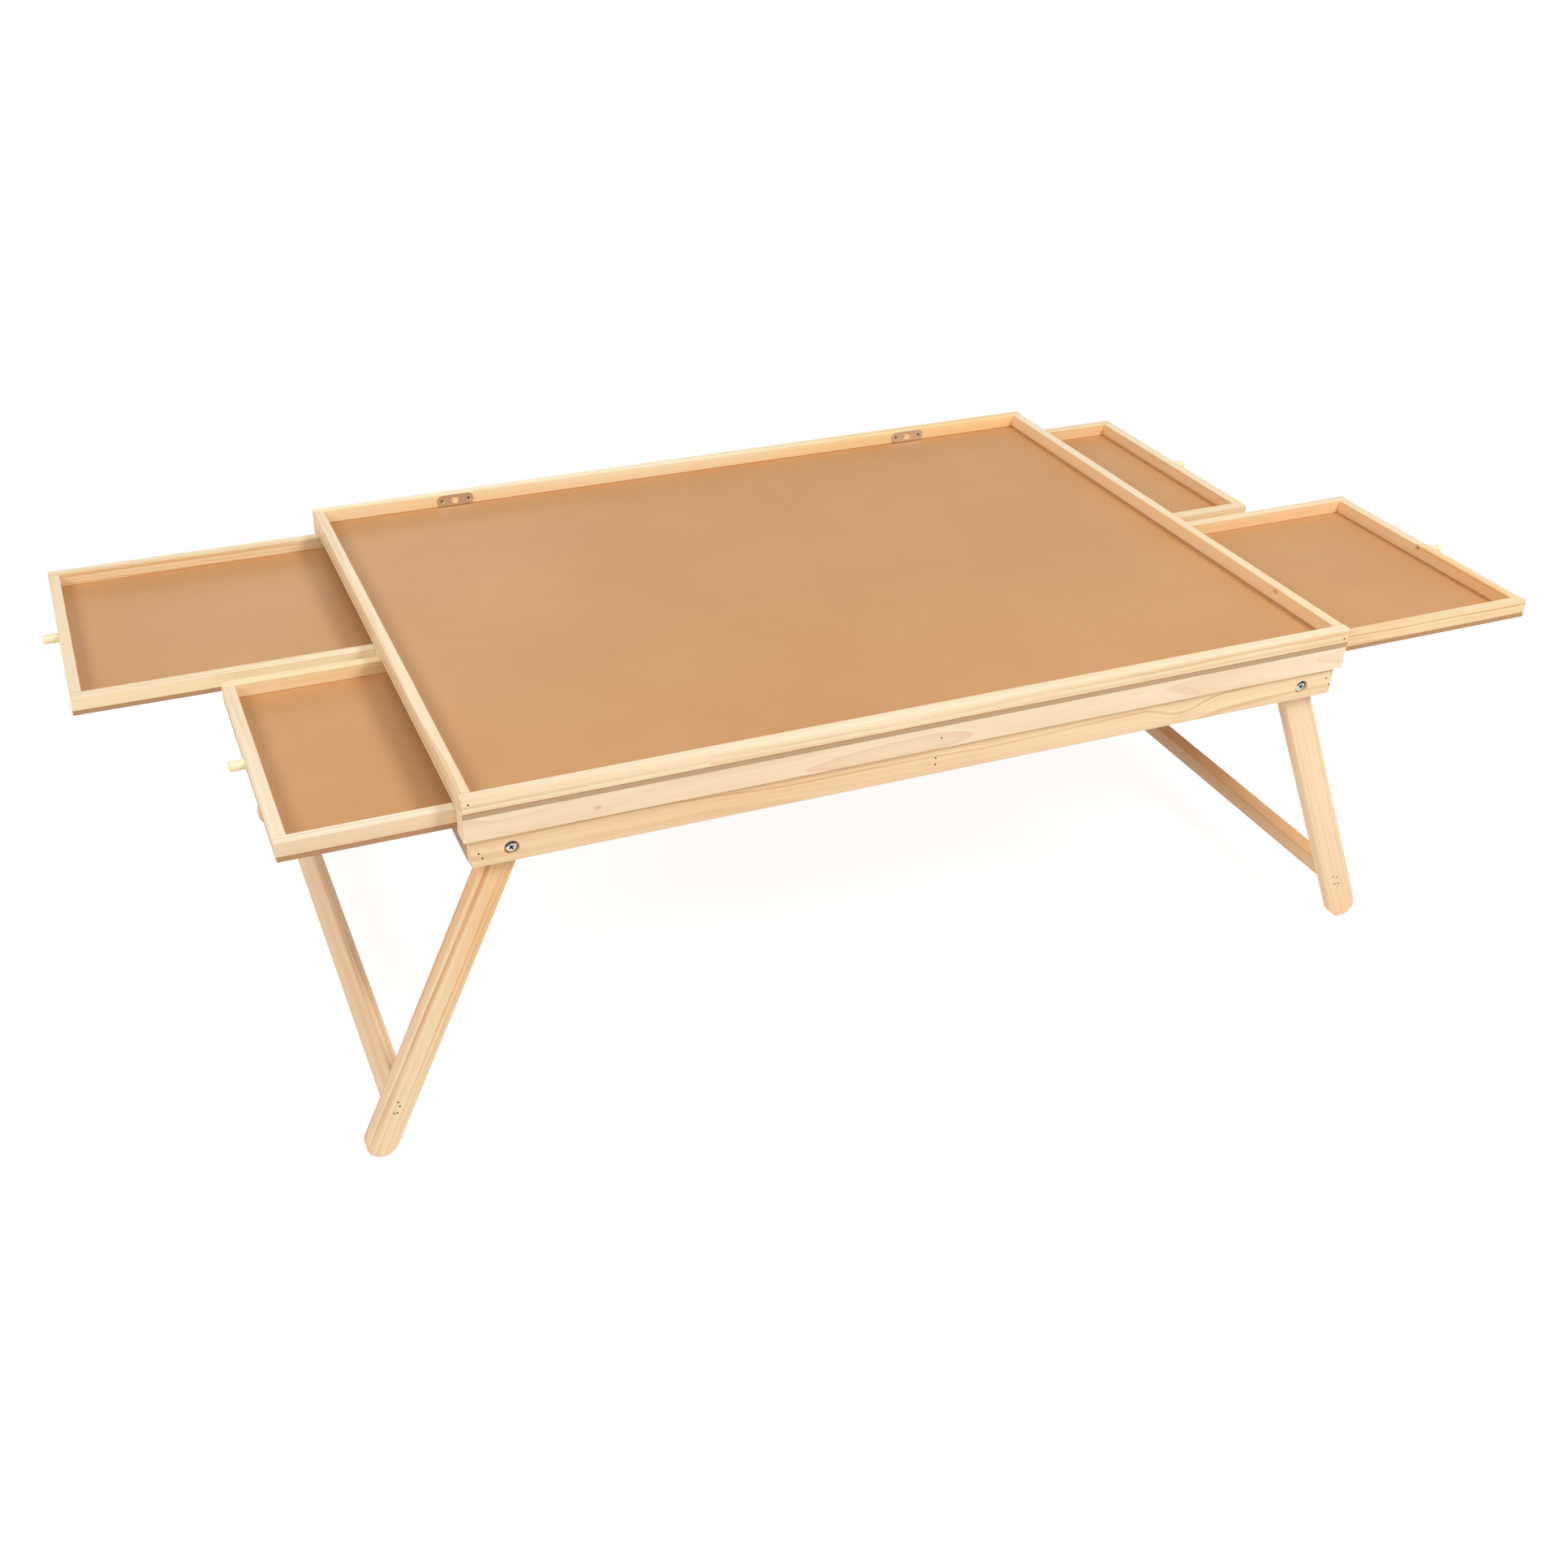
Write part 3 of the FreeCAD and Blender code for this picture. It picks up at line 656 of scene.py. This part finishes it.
def pivotBolts():
    low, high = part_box("pivot_bolts")
    headRadius = (high.z - low.z) / 2
    pivotX = high.x - headRadius
    pivotZ = (high.z + low.z) / 2
    top, rim = boltSet["headHeight"], boltSet["rimHeight"]
    shank, thread, pitch = (boltSet[key] for key in ("shank", "thread", "pitch"))
    seatY = high.y - top
    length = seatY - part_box("pivot_nuts")[1].y + boltSet["tail"]
    profile = [(0.0, -length), (thread, -length)]
    for turn in range(int(boltSet["threadLength"] / pitch)):
        z = -length + turn * pitch
        profile += [(shank, z + boltSet["crest"] * pitch), (thread, z + pitch)]
    profile += [(shank, profile[-1][1] + boltSet["runOut"]), (shank, 0.0), (headRadius, 0.0)]
    flat = headRadius * boltSet["crownShare"]
    for step in range(boltSet["domeSteps"] + 1):     # the domed pan head
        rise = step / boltSet["domeSteps"] * math.pi / 2
        dome = (flat + (headRadius - flat) * math.cos(rise), rim + (top - rim) * math.sin(rise))
        profile.append(dome)
    profile.append((0.0, top))
    mesh = crossCut(lathe(profile), top, *boltSet["recess"])
    corners = [(x, side) for side in (-1, 1) for x in (-pivotX, pivotX)]
    places = [outwards(x, side * seatY, pivotZ, side, twist)
              for (x, side), twist in zip(corners, boltSet["twists"])]
    piece = gather("pivotBolts", mesh, places, boltZinc, recessPaintedShadeZinc)
    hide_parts("pivot_bolts")
    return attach(piece, "table")


screwSet = {
    "headRadius": 0.0028, "headHeight": 0.0014, "crown": 0.0002, "rimShare": 0.97, "flatShare": 0.8,
    "shank": 0.0013, "depth": 0.0070, "point": 0.001,
    "plateLength": 0.040, "inset": 0.005,
    "recess": (0.0011, 0.0033, 0.0009),       # depth, length and width
    "twists": (0.3, 1.0, 0.7, 0.1),
}


def plateScrews():
    low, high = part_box("strike_plates")
    faceY, midZ = low.y, (low.z + high.z) / 2
    inset = screwSet["inset"]
    reach = screwSet["plateLength"] - inset
    spots = [low.x + inset, low.x + reach, high.x - reach, high.x - inset]
    radius, shank, crown, depth = (screwSet[key] for key in ("headRadius", "shank", "crown", "depth"))
    profile = [(0.0, -depth), (shank, -depth + screwSet["point"]), (shank, -screwSet["headHeight"]),
               (radius * screwSet["rimShare"], -crown), (radius, -crown / 2),
               (radius * screwSet["flatShare"], 0.0), (0.0, crown / 2)]
    mesh = crossCut(lathe(profile), 0.0, *screwSet["recess"])
    places = [outwards(x, faceY, midZ, -1, twist) for x, twist in zip(spots, screwSet["twists"])]
    piece = gather("plateScrews", mesh, places, zinc, recessPaintedShadeZinc)
    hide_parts("strike_plate_screws")
    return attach(piece, "table")


bradSet = {
    "radius": 0.0009, "proud": 0.00005, "sunk": 0.0015, "steps": 14,
    "shankShare": 0.7, "crownShare": 0.75, "dimpleShare": 0.3,
    # the heads are painted dark brown: partly dark steel and rust, partly painted shade of their sunk holes
    "steel": (84, 64, 44), "rust": (56, 42, 28), "spots": ((2500.0,) * 3, 4.0), "rustRange": (0.35, 0.65),
    "roughRange": (0.3, 0.7), "rough": (0.6, 0.85), "specular": 0.1,
}
tableBrads = {                # along X and down from the rim, in metres
    "upper_rail": [(-0.4263, 0.0051), (0.4269, 0.0096)],
    "lower_rail": [(0.0010, 0.0305)],
    "apron": [(-0.0010, 0.0530), (-0.0010, 0.0596), (-0.4194, 0.0559), (-0.4165, 0.0612),
              (0.4187, 0.0519), (0.4235, 0.0598)],
}
footBrads = {                 # down the leg from its pivot, and across it outwards
    "left": [(0.2749, 0.0026), (0.2791, -0.0005), (0.2864, -0.0007), (0.2875, 0.0019)],
    "right": [(0.2751, -0.0048), (0.2792, -0.0004), (0.2861, -0.0047), (0.2885, -0.0004)],
}


def bradMaterial():
    material, tree, shader = newMaterial("bradHead")
    place = addNode(tree, "ShaderNodeTexCoord").outputs["Object"]
    spots = noiseAt(tree, place, *bradSet["spots"])[0]
    # dark steel and rust, both darkened as painted shade of the sunk hole
    rustAndShadeMask = ramp(tree, spots, *bradSet["rustRange"])
    colour = mixed(tree, rustAndShadeMask, shade(*bradSet["steel"]), shade(*bradSet["rust"]))
    rough = ramp(tree, spots, *bradSet["roughRange"], *bradSet["rough"])
    setShader(tree, shader, BaseColor=colour, Roughness=rough, SpecularIORLevel=bradSet["specular"])
    return material


def bradHeads(name, body, spots, material):
    # small nail heads set into the wood, each spot as (x, y, z, side)
    radius, proud, sunk = (bradSet[key] for key in ("radius", "proud", "sunk"))
    profile = [(0.0, -sunk), (radius * bradSet["shankShare"], -sunk), (radius, -proud), (radius, 0.0),
               (radius * bradSet["crownShare"], proud), (0.0, proud * bradSet["dimpleShare"])]
    mesh = lathe(profile, bradSet["steps"])
    piece = gather(name, mesh, [outwards(*spot) for spot in spots], material)
    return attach(piece, body)


def outerFace(name, side):
    low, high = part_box(name)
    return low.y if side < 0 else high.y


def allBrads():
    steel = bradMaterial()
    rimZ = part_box("front_upper_rail")[1].z
    ends = ((-1, "front"), (1, "back"))
    spots = []
    for side, end in ends:
        for member, dots in tableBrads.items():
            y = outerFace(end + "_" + member, side)
            spots += [(-side * x, y, rimZ - drop, side) for x, drop in dots]
    bradHeads("tableBrads", "table", spots, steel)
    for hand, across in (("left", -1), ("right", 1)):
        spots = []
        for side, end in ends:
            leg = hand + "_" + end + "_leg"
            pivot, lean = legStance(leg)
            for run, shift in footBrads[hand]:
                x = pivot[0] + across * (run * math.sin(lean) + shift * math.cos(lean))
                z = pivot[2] - run * math.cos(lean) + shift * math.sin(lean)
                spots.append((x, outerFace(leg, side), z, side))
        bradHeads(hand + "LegBrads", hand + "_leg_frame", spots, steel)


pivotBolts()
plateScrews()
allBrads()
print("fasteners ready")


# Studio: pale floor, soft light and the camera

studioSet = {
    "floorSize": 60.0, "floorBounce": (244, 235, 223), "floorLit": 0.36, "floorGlow": 0.86,
    "skyLight": 0.35,
    "lamps": {
        "key": {"place": (1.5, -2.1, 2.8), "size": 1.0, "power": 66.0},
        "fill": {"place": (-3.6, -1.4, 3.3), "size": 1.9, "power": 95.0},
        "rear": {"place": (0.0, 3.2, 0.8), "size": 1.4, "power": 13.0},
    },
    "lampTint": (1.0, 0.98, 0.95), "lampAim": (0.0, 0.0, 0.30),
}


def seenDirectly(tree):
    # 1 where the camera, a reflection or a clear piece looks at the floor or the sky
    path = addNode(tree, "ShaderNodeLightPath").outputs
    seen = sums(tree, "MAXIMUM", path["Is Camera Ray"], path["Is Glossy Ray"])
    return sums(tree, "MAXIMUM", seen, path["Is Transmission Ray"])


def paleFloor():
    half = studioSet["floorSize"] / 2
    corners = [(-half, -half, 0), (half, -half, 0), (half, half, 0), (-half, half, 0)]
    mesh = bpy.data.meshes.new("floor")
    mesh.from_pydata(corners, [], [(0, 1, 2, 3)])
    floor = bpy.data.objects.new("floor", mesh)
    bpy.context.scene.collection.objects.link(floor)
    material, tree, shader = newMaterial("paleFloor")
    tree.nodes.clear()
    bounce = addNode(tree, "ShaderNodeBsdfDiffuse", {"Color": shade(*studioSet["floorBounce"])}).outputs[0]
    lit = addNode(tree, "ShaderNodeBsdfDiffuse", {"Color": [studioSet["floorLit"]] * 3 + [1.0]}).outputs[0]
    glow = addNode(tree, "ShaderNodeEmission", {"Strength": studioSet["floorGlow"]}).outputs[0]
    shown = addNode(tree, "ShaderNodeAddShader", {0: lit, 1: glow}).outputs[0]
    surface = addNode(tree, "ShaderNodeMixShader", {0: seenDirectly(tree), 1: bounce, 2: shown}).outputs[0]
    addNode(tree, "ShaderNodeOutputMaterial", {"Surface": surface})
    mesh.materials.append(material)


def whiteSky():
    world = bpy.data.worlds.new("studio")
    bpy.context.scene.world = world
    world.use_nodes = True
    tree = world.node_tree
    strength = ramp(tree, seenDirectly(tree), 0.0, 1.0, studioSet["skyLight"], 1.0)
    sky = tree.nodes["Background"]
    sky.inputs["Color"].default_value = (1.0, 1.0, 1.0, 1.0)
    tree.links.new(strength, sky.inputs["Strength"])


def softBox(name, settings):
    lamp = bpy.data.lights.new(name, "AREA")
    lamp.size = settings["size"]
    lamp.energy = settings["power"]
    lamp.color = studioSet["lampTint"]
    holder = bpy.data.objects.new(name, lamp)
    holder.location = settings["place"]
    aim = Vector(studioSet["lampAim"]) - holder.location
    holder.rotation_euler = aim.to_track_quat("-Z", "Y").to_euler()
    bpy.context.scene.collection.objects.link(holder)


cameraSet = {
    "place": (-0.69776, -1.48806, 1.13418), "yaw": 20.79, "pitch": 31.16, "roll": 0.21,
    "lens": 40.917, "sensor": 36.0, "shift": (0.0704, -0.0186),
}


def photoCamera():
    yaw, pitch, roll = (math.radians(cameraSet[key]) for key in ("yaw", "pitch", "roll"))
    ahead = Vector((math.sin(yaw) * math.cos(pitch), math.cos(yaw) * math.cos(pitch), -math.sin(pitch)))
    right = Vector((math.cos(yaw), -math.sin(yaw), 0.0))
    up = right.cross(ahead)
    tiltedRight = math.cos(roll) * right + math.sin(roll) * up
    tiltedUp = math.cos(roll) * up - math.sin(roll) * right
    lensData = bpy.data.cameras.new("photoCamera")
    lensData.lens = cameraSet["lens"]
    lensData.sensor_width = cameraSet["sensor"]
    lensData.shift_x, lensData.shift_y = cameraSet["shift"]
    camera = bpy.data.objects.new("photoCamera", lensData)
    turn = Matrix((tiltedRight, tiltedUp, -ahead)).transposed()
    camera.matrix_world = Matrix.Translation(cameraSet["place"]) @ turn.to_4x4()
    bpy.context.scene.collection.objects.link(camera)
    bpy.context.scene.camera = camera


paleFloor()
whiteSky()
for lampName, lampSettings in studioSet["lamps"].items():
    softBox(lampName, lampSettings)
photoCamera()
bpy.context.scene.view_settings.view_transform = "Standard"
print("studio ready")
